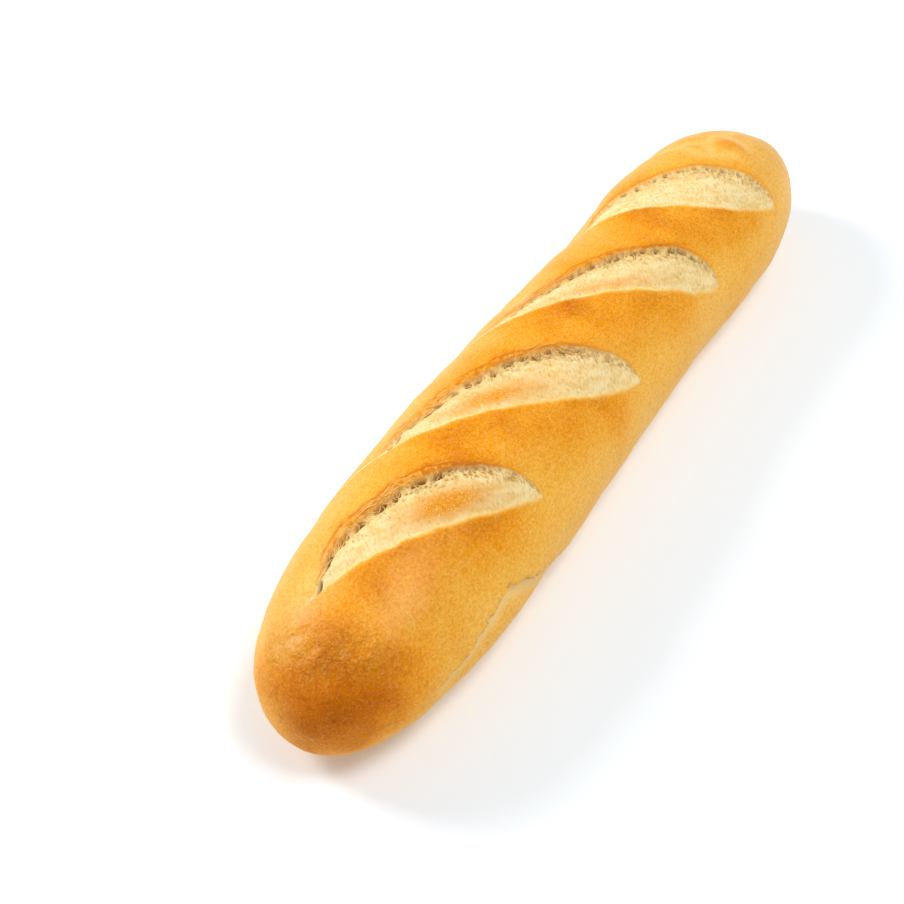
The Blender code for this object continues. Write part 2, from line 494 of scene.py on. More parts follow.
# %% The torn shape of each slash
OPEN_FROM = 0.02  # share of the length at which the lip starts to stand up
OPEN_TO = 0.13
EDGE_WAVES = ((0.35, 0.008, 1.3), (0.18, 0.0024, 7.3), (0.15, 0.0010, 9.1))  # millimetres, length, seed
LIP_WAVES = ((0.50, 0.011, 13.3), (0.30, 0.0034, 19.3))
FULLY_LOOSE = 0.006  # an opening this wide has the whole wander


def waves(along, index, parts):
    """Wandering lines on top of each other, in millimetres."""
    return sum(height * wander(along, length, index + seed) for height, length, seed in parts)


def torn_edges(index, share):
    """Distances of both ragged edges from the cut's line, how far it tore open, and its size there."""
    cut = SLASHES[index]
    near, far = cut_edges(cut, share)
    along = share * np.linalg.norm(cut_axes(cut)[1])
    loose = MILLIMETRE * np.minimum(1, (far - near) / FULLY_LOOSE)
    edge = near + loose * waves(along, index, EDGE_WAVES)
    lip = far + loose * waves(along, index, LIP_WAVES)
    lip = np.maximum(lip, edge + LEAST_OPENING)
    torn = smooth_step(OPEN_FROM, OPEN_TO, share) * (1 - smooth_step(*cut["closing"], share))
    return edge, lip, torn, ((far - near) / cut["lip"][0]) ** 0.7


def on_section(index, share, where):
    """Where a point of the section goes: distance from the cut's line, and height."""
    edge, lip, torn, size = torn_edges(index, share)
    reach = np.clip(where, -2, 4)
    open_place, open_height = read_curve(OPEN_CURVE, reach)
    closed_place, closed_height = read_curve(CLOSED_CURVE, reach)
    place = closed_place + (open_place - closed_place) * torn
    height = closed_height + (open_height - closed_height) * torn
    return edge + (lip - edge) * place, height * MILLIMETRE * np.minimum(size, 1)


# %% [markdown]
# ## Holes in the crumb
#
# Crumb is foam, and where it tore its holes lie open. A row of large ragged caves runs along under the lip,
# longest in the first slash, with walls left between them. Round them are small holes, and where a slash
# opened last the holes are narrow ones, drawn across it. Small holes come from scattered cell centres: a
# point close to one centre lies in a hole, and one as far from two is on a wall. Caves are ovals with a size
# and a place of their own, and the small cells make their outline ragged. The holes are sunk into the skin
# and also painted darker, as painted shade.

# %% Scattered cells
def scatter(column, row, seed):
    """A number between 0 and 1 for each cell, the same in each run."""
    mixed = np.sin(column * 127.1 + row * 311.7 + seed * 74.7) * 43758.5453
    return mixed - np.floor(mixed)


def cells(columns, rows, seed):
    """Distance to the nearest and the second nearest cell centre, and a number for the nearest cell."""
    home_column = np.floor(columns)
    home_row = np.floor(rows)
    nearest = np.full(len(columns), 9.0)
    second = nearest.copy()
    number = np.zeros(len(columns))
    for step_column in (-1, 0, 1):
        for step_row in (-1, 0, 1):
            column = home_column + step_column
            row = home_row + step_row
            centre_column = column + 0.1 + 0.8 * scatter(column, row, seed)
            centre_row = row + 0.1 + 0.8 * scatter(column, row, seed + 1)
            gap = np.hypot(columns - centre_column, rows - centre_row)
            closer = gap < nearest
            second = np.where(closer, nearest, np.minimum(second, gap))
            number = np.where(closer, scatter(column, row, seed + 2), number)
            nearest = np.where(closer, gap, nearest)
    return nearest, second, number


# %% Caves, small holes and narrow cells
CAVES = (  # where is a share of the length; the rest is in millimetres, long and wide from the middle out
    {"where": (0.00, 0.66), "count": 8, "long": (1.7, 2.8), "wide": (1.0, 1.7), "drop": 0.9, "depth": 3.0},
    {"where": (0.06, 0.82), "count": 15, "long": (1.0, 2.4), "wide": (0.6, 1.2), "drop": 1.2, "depth": 1.9},
    {"where": (0.10, 0.92), "count": 16, "long": (0.9, 2.1), "wide": (0.6, 1.1), "drop": 1.2, "depth": 1.7},
    {"where": (0.16, 0.92), "count": 11, "long": (0.6, 1.6), "wide": (0.45, 0.85), "drop": 1.2, "depth": 1.3},
)
CAVE_SEEDS = (5, 6, 7, 8)
SMALL_CELL = 1.5
SMALL_HOLE_DEPTH = 0.8
HATCH_CELL = (1.15, 2.6)  # along and across
HATCH_SLANT = 0.35
HATCH_DEPTH = 0.35


def between(limits, share):
    """The value at this share of the way from the lower limit to the upper one."""
    low, high = limits
    return low + (high - low) * share


def caves_under_lip(index, run_mm, along_mm, to_lip_mm, raggedness):
    """How far inside a cave each point lies, 0 to 1."""
    caves = CAVES[index]
    inside_cave = np.zeros(len(along_mm))
    for number in range(caves["count"]):
        jitter, length, width, drop = (float(scatter(number, index, seed)) for seed in CAVE_SEEDS)
        middle = run_mm * between(caves["where"], (number + 0.5 + 0.5 * (jitter - 0.5)) / caves["count"])
        long = between(caves["long"], length)
        wide = between(caves["wide"], width)
        from_lip = wide * 0.9 + caves["drop"] * (0.3 + drop)
        oval = np.hypot((along_mm - middle) / long, (to_lip_mm - from_lip) / wide)
        inside_cave = np.maximum(inside_cave, 1 - smooth_step(0.60, 1.05, oval + raggedness))
    return inside_cave


def narrow_cells(index, along_mm, to_lip_mm):
    """Narrow cells drawn across the slash, 1 in the middle of each."""
    slanted = (along_mm - HATCH_SLANT * to_lip_mm) / HATCH_CELL[0]
    nearest, _, number = cells(slanted, to_lip_mm / HATCH_CELL[1] + 60, 60 + index)
    return (1 - smooth_step(0.16, 0.36, nearest)) * (number > 0.30)

# %% [markdown]
# ## Tearing the slashes open
#
# Each point near a slash is moved to its place on the section. The same numbers that move a point also say
# what it is: crumb, hollow, wall between hollows, lip or rim. They are kept as masks for the colours; the
# mask of hollows paints shade into the caves and holes.

# %% Places for the shifts, the heights and the masks
MASKS = (
    "bake_and_shade", "crumb", "hollow_shade", "wall", "lace", "toast",
    "ear", "lip", "rim", "burst", "wrinkle", "pale", "sheen",
)
EAR_STRIP = 2.6  # millimetres of torn lip that lie open in the widest slash
CREASE_WAVES = ((0.35, 5.0, 31.3), (0.2, 1.3, 33.3))
TEAR_LAYER = 10.0  # keeps the patterns of the slashes apart

count = len(x)
shift = np.zeros((count, 2))
rise = np.zeros(count)
masks = {name: np.zeros(count) for name in MASKS}
tear = np.zeros((count, 3))


def keep_most(name, places, values):
    """Raise a mask at these places to these values, where they are higher."""
    masks[name][places] = np.maximum(masks[name][places], values)


def mark_lip(cut, index, places, s, along_mm, to_lip_mm, torn, size):
    """The torn strip behind the lip's edge, and the crease where the smooth crust starts."""
    gap = cut["gap"]
    strip = EAR_STRIP * gap * smooth_step(0.0, 0.15, s) * (1 - smooth_step(0.45, 0.80, s)) + 0.1
    out_mm = -to_lip_mm
    on_strip = smooth_step(-1.6, -1.0, out_mm) * (1 - smooth_step(strip - 0.3, strip + 0.3, out_mm))
    keep_most("ear", places, on_strip * torn * gap)
    crease = strip + waves(along_mm, index, CREASE_WAVES)
    fading = smooth_step(0.03, 0.30, size)
    keep_most("lip", places, bump_at(out_mm, crease, 0.50) * (0.25 + 0.75 * torn * gap) * fading)


def mark_toast(cut, places, s, where, inside):
    """The part of the crumb that browned."""
    middle, half_length, level, half_width, strength = cut["toast"]
    toasted = bump_at(s, middle, half_length) * bump_at(where, level + 0.1, half_width) * strength
    keep_most("toast", places, inside * toasted)


print(len(MASKS), "masks on", count, "points")

# %% Sculpt the slashes
for index, cut in enumerate(SLASHES):
    share, beyond = cut_place(cut, x, girth)
    start, run, across = cut_axes(cut)
    run_mm = np.linalg.norm(run) / MILLIMETRE
    near = np.flatnonzero((share > -cut["tail"]) & (share < 1) & (beyond > -0.035) & (beyond < 0.055))
    s = share[near]
    edge, lip, torn, size = torn_edges(index, s)
    span = lip - edge
    where = (beyond[near] - edge) / span
    place, height = on_section(index, s, where)
    moved = np.where((where > -1.9) & (where < 3.9), place - beyond[near], 0)
    shift[near] += across * moved[:, None]
    rise[near] += height
    inside = smooth_step(-0.012, 0.03, where) * (1 - smooth_step(0.965, 0.995, where))
    live = where * (1 - where) > 0
    along_mm = s * run_mm
    across_mm = (place - edge) / MILLIMETRE
    to_lip_mm = (1 - where) * span / MILLIMETRE

    # Caves, and small holes round them
    nearest, second, number = cells(along_mm / SMALL_CELL, to_lip_mm / SMALL_CELL + 80, 30 + index)
    band = live * (1 - smooth_step(0.93, 0.97, where)) * smooth_step(0.02, 0.15, size)
    cave = band * caves_under_lip(index, run_mm, along_mm, to_lip_mm, 0.45 * (nearest - 0.42))
    fringe = band * smooth_step(0.62, 0.76, where + 0.16 * (number - 0.5))
    fringe = fringe * smooth_step(0.0, 0.4, torn + 0.5 * (s > 0.5))
    small_hole = smooth_step(0.14, 0.40, second - nearest) * (number > 0.45) * fringe
    small_hole = small_hole * (0.35 + 0.45 * cut["gap"]) * (0.25 + 0.75 * smooth_step(0.35, 0.60, s))
    deep = cave * CAVES[index]["depth"] + small_hole * SMALL_HOLE_DEPTH
    rise[near] -= deep * MILLIMETRE * np.minimum(1, 1.3 * size)

    # Narrow cells where the slash opened last
    last = smooth_step(0.50, 0.75, s) * smooth_step(0.45, 0.80, where) * (1 - smooth_step(0.95, 0.99, where))
    hatch = narrow_cells(index, along_mm, to_lip_mm) * last * live * smooth_step(0.1, 0.4, size)
    rise[near] -= hatch * HATCH_DEPTH * MILLIMETRE

    # Masks
    openness = smooth_step(0.0, 0.10, s) * 0.25 + 0.75 * torn
    painted_hole_shade = np.maximum(0.7 * small_hole, 0.40 * hatch)
    keep_most("crumb", near, inside * smooth_step(-cut["tail"], cut["scored"], s))
    # Painted shade in the caves and small holes.
    keep_most("hollow_shade", near, np.maximum(cave * (0.6 + 0.4 * openness), painted_hole_shade))
    keep_most("wall", near, fringe * (1 - cave) * (1 - small_hole) * (0.4 + 0.6 * openness))
    keep_most("lace", near, inside * smooth_step(0.40, 0.85, where) * smooth_step(0.05, 0.4, size))
    rim_gap = (beyond[near] - edge) / MILLIMETRE
    keep_most("rim", near, bump_at(rim_gap, 0.15, 0.55) * smooth_step(0.2, 0.6, size))
    mark_lip(cut, index, near, s, along_mm, to_lip_mm, torn, size)
    mark_toast(cut, near, s, where, inside)
    row = np.stack([along_mm, across_mm, np.full(len(s), index * TEAR_LAYER)], axis=-1)
    tear[near] = np.where(((where > -0.2) & (where < 1.6))[:, None], row, tear[near])
    print("slash", index + 1, "has", int(live.sum()), "crumb points")

# %% [markdown]
# ## The burst, the healed score marks and the wrinkles
#
# Below the step of the burst the crust lies a little deeper and stays pale. On the slim end old score marks
# closed again in the oven. They show as pale streaks with small pillows between them. The blunt end dried
# first, and there the crust is finely wrinkled. In a few places the crust is smooth enough for a sheen.

# %% Smaller marks
BURST_STEP = 0.0011
BURST_CURL = 0.0004
HEALED_MARKS = (
    (
        (0.1059, -0.0230), (0.1065, -0.0150), (0.1040, -0.0080),
        (0.1032, -0.0036), (0.1056, 0.0007), (0.1105, 0.0068),
    ),
    ((0.1065, -0.0190), (0.1096, -0.0114), (0.1132, -0.0066), (0.1218, -0.0071), (0.1300, -0.0050)),
    ((0.1132, -0.0066), (0.1090, -0.0030), (0.1056, 0.0007)),
    ((0.1218, -0.0071), (0.1235, 0.0010), (0.1215, 0.0090)),
)
HEALED_WIDTH = 0.0024
HEALED_DEPTH = 0.0003
PILLOWS = ((0.1166, 0.0015, 0.0052), (0.1050, -0.0105, 0.0040))  # x, girth and reach
WRINKLE_LINE = (
    (-0.1385, -0.0200), (-0.1372, -0.0090), (-0.1362, 0.0017), (-0.1325, 0.0080), (-0.1305, 0.0190),
)
WRINKLE_WIDTH = 0.0050
SHEENS = (  # x, girth, reach and strength of the smoothest crust
    (-0.1310, -0.0120, 0.0180, 0.55),
    (-0.1125, 0.0180, 0.0150, 0.38),
    (0.1300, 0.0150, 0.0200, 0.30),
)
WAISTS = (  # x, girth, half its length, half its width and depth
    (0.1065, -0.0290, 0.0045, 0.0090, 0.0011),
    (0.0480, -0.0350, 0.0060, 0.0100, 0.0008),
)


def distance_to(line, x, girth):
    """Distance of each place from a line of straight runs."""
    here = np.stack([x, girth], axis=-1)
    nearest = np.full(len(x), 1.0)
    for start, end in zip(line, line[1:]):
        start = np.array(start)
        run = np.array(end) - start
        share = np.clip((here - start) @ run / (run @ run), 0, 1)
        nearest = np.minimum(nearest, np.linalg.norm(here - start - share[:, None] * run, axis=-1))
    return nearest


below, burst = below_burst(x, girth)
opened = smooth_step(-0.0001, 0.0005, below)
faded = 1 - smooth_step(0.55 * BURST_BAND, 1.5 * BURST_BAND, below)
rise -= BURST_STEP * burst * opened * faded
rise += BURST_CURL * burst * (1 - opened) * bump_at(below, 0, 0.0025)
masks["burst"] = burst * opened * (1 - smooth_step(0.6 * BURST_BAND, 1.15 * BURST_BAND, below))
# Painted shade along the burst's step.
masks["hollow_shade"] = np.maximum(masks["hollow_shade"], 0.45 * burst * bump_at(below, 0.0002, 0.00035))

everywhere = np.arange(count)
for line in HEALED_MARKS:
    keep_most("pale", everywhere, bump_at(distance_to(line, x, girth), 0, HEALED_WIDTH))
rise -= HEALED_DEPTH * masks["pale"]
for sheen_x, sheen_girth, reach, strength in SHEENS:
    patch = bump_at(np.hypot(x - sheen_x, girth - sheen_girth), 0, reach)
    keep_most("sheen", everywhere, strength * patch)
masks["wrinkle"] = bump_at(distance_to(WRINKLE_LINE, x, girth), 0, WRINKLE_WIDTH)
print("wrinkled points:", int((masks["wrinkle"] > 0.5).sum()))
for middle_x, middle_girth, long, wide, deep in WAISTS:
    rise -= deep * bump_at(x, middle_x, long) * bump_at(girth, middle_girth, wide)

# %% [markdown]
# ## How the oven coloured it
#
# One number says how dark each place is, from pale flank to brown. The mounds in front of each slash stand
# nearest the heat, and the flanks stay pale. The blunt end browns most, low on its right side, and there the
# same number also carries painted shade where the tip's end face turns down and away from the lamps. Broad
# and middling lumps shift it a little, and the same lumps make the skin slightly uneven when it is put
# together.

# %% Baking, with painted shade on the blunt tip
BAKE_FLANK = 0.16
BAKE_CROWN = 0.20
BAKE_MOUND = 0.27
# The three tip numbers below give the blunt end's real browning together with painted shade low on its end
# face, where it turns away from the lamps.
TIP_BAKE_AND_SHADE = 0.72
TIP_BAKE_AND_SHADE_PLACE = (-0.1439, 0.0215)  # x and girth
TIP_BAKE_AND_SHADE_REACH = 0.0285
BAKE_EAR = (0.08, 0.20)  # for any lip, and more by how far it tore open
BAKE_PILLOW = 0.24
PILLOW_HEIGHT = 0.0005
LESS_AT_SLIM_END = 0.15
LESS_ON_HEALED = 0.16


def lumps(values, size, seed):
    """Smooth random lumps between about -1 and 1 at these points."""
    return np.array([2 * noise.noise(Vector(value) / size + Vector((seed, 0, 0))) for value in values])


plain = plain_skin(x, angle)
broad = lumps(plain, 0.022, 3.1)
middling = lumps(plain, 0.008, 5.7)
crown = (1 - smooth_step(0.018, 0.040, np.abs(girth))) * smooth_step(-0.125, -0.085, x)
bake_and_shade = BAKE_FLANK + BAKE_CROWN * crown + 0.07 * broad + 0.05 * middling
for index, cut in enumerate(SLASHES):
    share, beyond = cut_place(cut, x, girth)
    before = (cut_edges(cut, share)[0] - beyond) / MILLIMETRE
    mound = smooth_step(-0.5, 1.5, before) * (1 - smooth_step(5.0, 26.0, before))
    bake_and_shade += BAKE_MOUND * mound * smooth_step(0.0, 0.25, share) * (1 - smooth_step(0.80, 1.05, share))
    after = (beyond - cut_edges(cut, share)[1]) / MILLIMETRE
    ear = np.exp(-np.clip(after, 0, 60) / 4.0) * (after > -1)
    along_ear = smooth_step(-0.05, 0.2, share) * (1 - smooth_step(0.75, 1.0, share))
    bake_and_shade += (BAKE_EAR[0] + BAKE_EAR[1] * cut["gap"]) * ear * along_ear
# Real browning and painted shade together, darkest low on the blunt tip.
tip_bake_and_shade_centre = plain_skin(np.array([TIP_BAKE_AND_SHADE_PLACE[0]]), np.array([TIP_BAKE_AND_SHADE_PLACE[1] / GIRTH_RADIUS]))
bake_and_shade += TIP_BAKE_AND_SHADE * np.exp(-((np.linalg.norm(plain - tip_bake_and_shade_centre, axis=-1) / TIP_BAKE_AND_SHADE_REACH) ** 2))
bake_and_shade -= LESS_AT_SLIM_END * smooth_step(0.095, 0.125, x)
bake_and_shade -= LESS_ON_HEALED * masks["pale"]
for pillow_x, pillow_girth, reach in PILLOWS:
    pillow = bump_at(np.hypot(x - pillow_x, girth - pillow_girth), 0, reach)
    bake_and_shade += BAKE_PILLOW * pillow
    rise += PILLOW_HEIGHT * pillow
masks["bake_and_shade"] = np.clip(bake_and_shade, 0, 1.2)

# %% Put the skin together
BROAD_HEIGHT = 0.00028
MIDDLING_HEIGHT = 0.00014
WRINKLE_HEIGHT = 0.0004
WRINKLE_SIZE = 0.0023

final_x = x + shift[:, 0]
final_angle = (girth + shift[:, 1]) / GIRTH_RADIUS
unevenness = BROAD_HEIGHT * broad + MIDDLING_HEIGHT * middling
unevenness += WRINKLE_HEIGHT * masks["wrinkle"] * lumps(plain, WRINKLE_SIZE, 9.3)
points = plain_skin(final_x, final_angle) + outward(final_x, final_angle) * (rise + unevenness)[:, None]
points[:, 2] = np.maximum(points[:, 2], 0)
loaf.data.vertices.foreach_set("co", points.ravel())
loaf.data.update()
bpy.ops.object.mode_set(mode="EDIT")
bpy.ops.mesh.select_all(action="SELECT")
bpy.ops.mesh.normals_make_consistent(inside=False)
bpy.ops.object.mode_set(mode="OBJECT")
bpy.ops.object.shade_smooth()
for name, values in masks.items():
    layer = loaf.data.attributes.new(name, "FLOAT", "POINT")
    layer.data.foreach_set("value", values.astype(np.float32))
layer = loaf.data.attributes.new("tear", "FLOAT_VECTOR", "POINT")
layer.data.foreach_set("vector", tear.astype(np.float32).ravel())
triangles = sum(len(face.vertices) - 2 for face in loaf.data.polygons)
print("the skin has", triangles, "triangles")

# %% [markdown]
# ## Threads
#
# Dough is held together by gluten. Where the slash tore, thin threads of it were drawn from the crumb to the
# lip and baked hard, and others lie along the torn strip of the lip. Each one is a short curve with a little
# thickness, and all of them become one mesh.

# %% Threads from the crumb to the lip
THREADS = (90, 80, 76, 22)  # in each slash
EAR_HAIRS = (40, 26, 20, 4)
THREAD_THICKNESS = 0.00009
THREAD_POINTS = 5
THREAD_SAG = 0.0010
TAPER = np.array([0.5, 0.9, 1.0, 0.9, 0.5])
chance = np.random.default_rng(11)

curve = bpy.data.curves.new("threads", "CURVE")
curve.dimensions = "3D"
curve.bevel_depth = THREAD_THICKNESS
curve.bevel_resolution = 0
share_line = np.linspace(-0.5, 0.5, THREAD_POINTS)
curl = np.sin(np.linspace(0, math.pi, THREAD_POINTS))


def drawn_thread():
    """A thread from the crumb to the lip: shares of the length, and of the opening."""
    s = chance.uniform(0.04, 0.90) + share_line * chance.normal(0.0, 0.03)
    s = s + chance.normal(0.0, 0.008) * curl
    where = chance.uniform(0.76, 0.94) + share_line * chance.uniform(0.06, 0.22)
    return s, np.minimum(where, 1.0)


def ear_hair():
    """A thread that lies along the torn strip of the lip."""
    s = chance.uniform(0.05, 0.70) + share_line * chance.uniform(0.03, 0.10)
    where = chance.uniform(0.95, 1.14) + share_line * chance.normal(0.0, 0.06)
    return s, where + chance.normal(0, 0.015) * curl


def add_thread(index, s, where):
    """One thread, as a spline that starts and ends on the skin and sags between."""
    start, run, across = cut_axes(SLASHES[index])
    s = np.clip(s, 0.01, 0.99)
    distance, height = on_section(index, s, where)
    chord = np.linspace(height[0], height[-1], THREAD_POINTS)
    height = np.maximum(height, chord - chance.uniform(0.0, THREAD_SAG)) + THREAD_THICKNESS
    place = start + s[:, None] * run + distance[:, None] * across
    line = plain_skin(place[:, 0], place[:, 1] / GIRTH_RADIUS)
    line = line + outward(place[:, 0], place[:, 1] / GIRTH_RADIUS) * height[:, None]
    spline = curve.splines.new("POLY")
    spline.points.add(THREAD_POINTS - 1)
    spline.points.foreach_set("co", np.hstack([line, np.ones((THREAD_POINTS, 1))]).ravel())
    spline.points.foreach_set("radius", chance.uniform(0.7, 1.5) * TAPER)


for index in range(len(SLASHES)):
    for number in range(THREADS[index]):
        add_thread(index, *drawn_thread())
    for number in range(EAR_HAIRS[index]):
        add_thread(index, *ear_hair())
print("threads:", len(curve.splines))

# %% Make the threads one mesh
threads = bpy.data.objects.new("threads", curve)
scene.collection.objects.link(threads)
bpy.ops.object.select_all(action="DESELECT")
threads.select_set(True)
bpy.context.view_layer.objects.active = threads
bpy.ops.object.convert(target="MESH")
threads = bpy.context.object
bpy.ops.object.shade_smooth()

# %% [markdown]
# ## Colours of baked bread
#
# The colours are given as they look in even light, apart from the painted shade in the crumb's holes and low
# on the blunt tip. The crust runs from pale gold to brown along one ramp, and the crumb from cream to
# toasted. A baked crust is never even: seen close it is a web of fine light strokes on a mottled ground. The
# crust, the torn lip and the toasted crumb all show it, so it is built once, as a node group.

# %% Helpers for colours and nodes
def shade(red, green, blue):
    """A colour given as it looks on a screen, 0 to 255, as the light values that a shader takes."""
    def linear(value):
        share = value / 255
        return share / 12.92 if share <= 0.04045 else ((share + 0.055) / 1.055) ** 2.4

    return (linear(red), linear(green), linear(blue), 1.0)


def add_node(tree, kind, column, row, **settings):
    """A node at this column and row of the node editor, with these settings."""
    node = tree.nodes.new(kind)
    node.location = (column * 220, -row * 200)
    for name, value in settings.items():
        setattr(node, name, value)
    return node


def add_math(tree, operation, column, row, first, second):
    """The sum, product or other result of two values, each a number or the output of another node."""
    node = add_node(tree, "ShaderNodeMath", column, row, operation=operation)
    for socket, value in zip(node.inputs, (first, second)):
        if isinstance(value, (int, float)):
            socket.default_value = value
        else:
            tree.links.new(value, socket)
    return node.outputs["Value"]


def add_range(tree, column, row, value, low, high):
    """0 where value is below low, 1 where it is above high."""
    node = add_node(tree, "ShaderNodeMapRange", column, row, interpolation_type="SMOOTHSTEP")
    tree.links.new(value, node.inputs["Value"])
    node.inputs["From Min"].default_value = low
    node.inputs["From Max"].default_value = high
    return node.outputs["Result"]


def add_mix(tree, column, row, factor, first, second):
    """A mix of two colours, each a colour or the output of another node."""
    node = add_node(tree, "ShaderNodeMix", column, row, data_type="RGBA")
    tree.links.new(factor, node.inputs["Factor"])
    for socket, value in ((node.inputs["A"], first), (node.inputs["B"], second)):
        if isinstance(value, tuple):
            socket.default_value = value
        else:
            tree.links.new(value, socket)
    return node.outputs["Result"]


def add_noise(tree, column, row, vector, scale, detail, roughness=0.5, distortion=0.0):
    """Smooth noise around 0.5, whose scale is a number or the output of another node."""
    node = add_node(tree, "ShaderNodeTexNoise", column, row)
    tree.links.new(vector, node.inputs["Vector"])
    if isinstance(scale, (int, float)):
        node.inputs["Scale"].default_value = scale
    else:
        tree.links.new(scale, node.inputs["Scale"])
    node.inputs["Detail"].default_value = detail
    node.inputs["Roughness"].default_value = roughness
    node.inputs["Distortion"].default_value = distortion
    return node.outputs["Fac"]

# %% Speckle group
speckle = bpy.data.node_groups.new("speckle", "ShaderNodeTree")
speckle.interface.new_socket("Vector", in_out="INPUT", socket_type="NodeSocketVector")
speckle.interface.new_socket("Scale", in_out="INPUT", socket_type="NodeSocketFloat")
speckle.interface.new_socket("Ground", in_out="OUTPUT", socket_type="NodeSocketFloat")
speckle.interface.new_socket("Strokes", in_out="OUTPUT", socket_type="NodeSocketFloat")
inside_group = add_node(speckle, "NodeGroupInput", 0, 0)
place_in = inside_group.outputs["Vector"]
scale_in = inside_group.outputs["Scale"]
ground = add_noise(speckle, 1, 0, place_in, scale_in, 4.0, 0.65)
ridge = add_noise(speckle, 1, 1, place_in, scale_in, 1.0, 0.5, 0.8)
breaks = add_noise(speckle, 1, 2, place_in, scale_in, 0.0)
ridge = add_math(speckle, "ABSOLUTE", 2, 1, add_math(speckle, "SUBTRACT", 2, 2, ridge, 0.5), 0.0)
strokes = add_math(speckle, "SUBTRACT", 4, 1, 1.0, add_range(speckle, 3, 1, ridge, 0.006, 0.048))
strokes = add_math(speckle, "MULTIPLY", 5, 1, strokes, add_range(speckle, 3, 2, breaks, 0.40, 0.55))
group_output = add_node(speckle, "NodeGroupOutput", 6, 0)
speckle.links.new(ground, group_output.inputs["Ground"])
speckle.links.new(strokes, group_output.inputs["Strokes"])
print("the speckle group has", len(speckle.nodes), "nodes")

# %% The material and its masks
bread = bpy.data.materials.new("baked_bread")
bread.use_nodes = True
tree = bread.node_tree
links = tree.links
shader = tree.nodes["Principled BSDF"]
shader.location = (3600, 0)
tree.nodes["Material Output"].location = (3900, 0)
place = add_node(tree, "ShaderNodeTexCoord", 0, 0).outputs["Object"]


def mask(name, row):
    """A mask that was stored on the points of the skin."""
    return add_node(tree, "ShaderNodeAttribute", 0, row, attribute_name=name).outputs["Fac"]


# How dark each place of the crust baked, with painted shade low on the blunt tip.
bake_and_shade_mask = mask("bake_and_shade", 1)
crumb = mask("crumb", 2)
# Where the caves, holes and the burst's step get painted shade.
hollow_shade = mask("hollow_shade", 3)
wall = mask("wall", 4)
lace = mask("lace", 4.5)
toast = mask("toast", 5)
lip_mask = mask("lip", 6)
ear_mask = mask("ear", 6.5)
rim = mask("rim", 7)
burst_mask = mask("burst", 8)
wrinkle = mask("wrinkle", 9)
pale = mask("pale", 10)
sheen = mask("sheen", 10.5)
tear_place = add_node(tree, "ShaderNodeAttribute", 0, 11, attribute_name="tear").outputs["Vector"]


def times(column, row, first, second):
    """The product of two values in the bread's material."""
    return add_math(tree, "MULTIPLY", column, row, first, second)


def plus(column, row, first, second):
    """The sum of two values in the bread's material."""
    return add_math(tree, "ADD", column, row, first, second)


def less(column, row, first, second):
    """The first value less the second, in the bread's material."""
    return add_math(tree, "SUBTRACT", column, row, first, second)


def add_speckle(column, row, vector, scale):
    """The speckle group, placed in the bread's material with its own scale."""
    node = add_node(tree, "ShaderNodeGroup", column, row, node_tree=speckle)
    links.new(vector, node.inputs["Vector"])
    node.inputs["Scale"].default_value = scale
    return node.outputs["Ground"], node.outputs["Strokes"]

# %% Crust colour
CRUST_COLOURS = (  # from pale to brown
    (0.00, shade(252, 190, 76)),
    (0.28, shade(249, 182, 58)),
    (0.55, shade(243, 158, 16)),
    (0.78, shade(208, 113, 2)),
    (1.00, shade(156, 71, 0)),
)
crust_ground, crust_strokes = add_speckle(1, 0, place, 680.0)
fine_ground, fine_strokes = add_speckle(1, 1, place, 1150.0)
spread = times(2, 0, less(2, 1, crust_ground, 0.5), 0.38)
level = plus(3, 0, bake_and_shade_mask, spread)
ramp = add_node(tree, "ShaderNodeValToRGB", 5, 0)
links.new(level, ramp.inputs["Fac"])
stops = ramp.color_ramp.elements
for position, colour in CRUST_COLOURS[1:-1]:
    stops.new(position)
for stop, (position, colour) in zip(stops, CRUST_COLOURS):
    stop.position = position
    stop.color = colour
flecks = times(6, 2, add_range(tree, 5, 2, fine_ground, 0.60, 0.36), 0.28)
crust_colour = add_mix(tree, 7, 0, flecks, ramp.outputs["Color"], shade(205, 108, 4))
both_strokes = add_math(tree, "MAXIMUM", 5, 1, crust_strokes, fine_strokes)
stroke_strength = times(6, 3, less(5, 3, 1.10, level), 0.58)
stroke_level = times(7, 1, both_strokes, stroke_strength)
crust_colour = add_mix(tree, 8, 0, stroke_level, crust_colour, shade(255, 218, 128))
crust_colour = add_mix(tree, 9, 0, times(8, 2, pale, 0.35), crust_colour, shade(253, 214, 132))

# %% Crumb colour
def add_stretched(column, row, along, across):
    """The tear's own coordinates in millimetres, stretched along or across the slash."""
    node = add_node(tree, "ShaderNodeVectorMath", column, row, operation="MULTIPLY")
    links.new(tear_place, node.inputs[0])
    node.inputs[1].default_value = (along, across, 1.0)
    return node.outputs["Vector"]


fibres = add_noise(tree, 2, 10, add_stretched(1, 10, 1.0, 0.28), 2.2, 3.0, 0.6, 0.8)
grain = add_noise(tree, 2, 11, add_stretched(1, 11, 1.0, 0.6), 1.1, 3.0, 0.55)
patches = add_noise(tree, 2, 9.5, add_stretched(1, 9, 0.5, 1.0), 0.35, 2.0, 0.5, 0.6)
fine_level = plus(3, 9, times(2, 9, fibres, 0.40), times(2, 8, grain, 0.25))
crumb_level = plus(4, 10, fine_level, times(3, 10, patches, 0.35))
crumb_range = add_range(tree, 4, 11, crumb_level, 0.38, 0.60)
crumb_colour = add_mix(tree, 5, 11, crumb_range, shade(236, 196, 118), shade(250, 228, 172))

# %% Pores and lace, with painted shade in their holes
NET_SCALE = 0.62

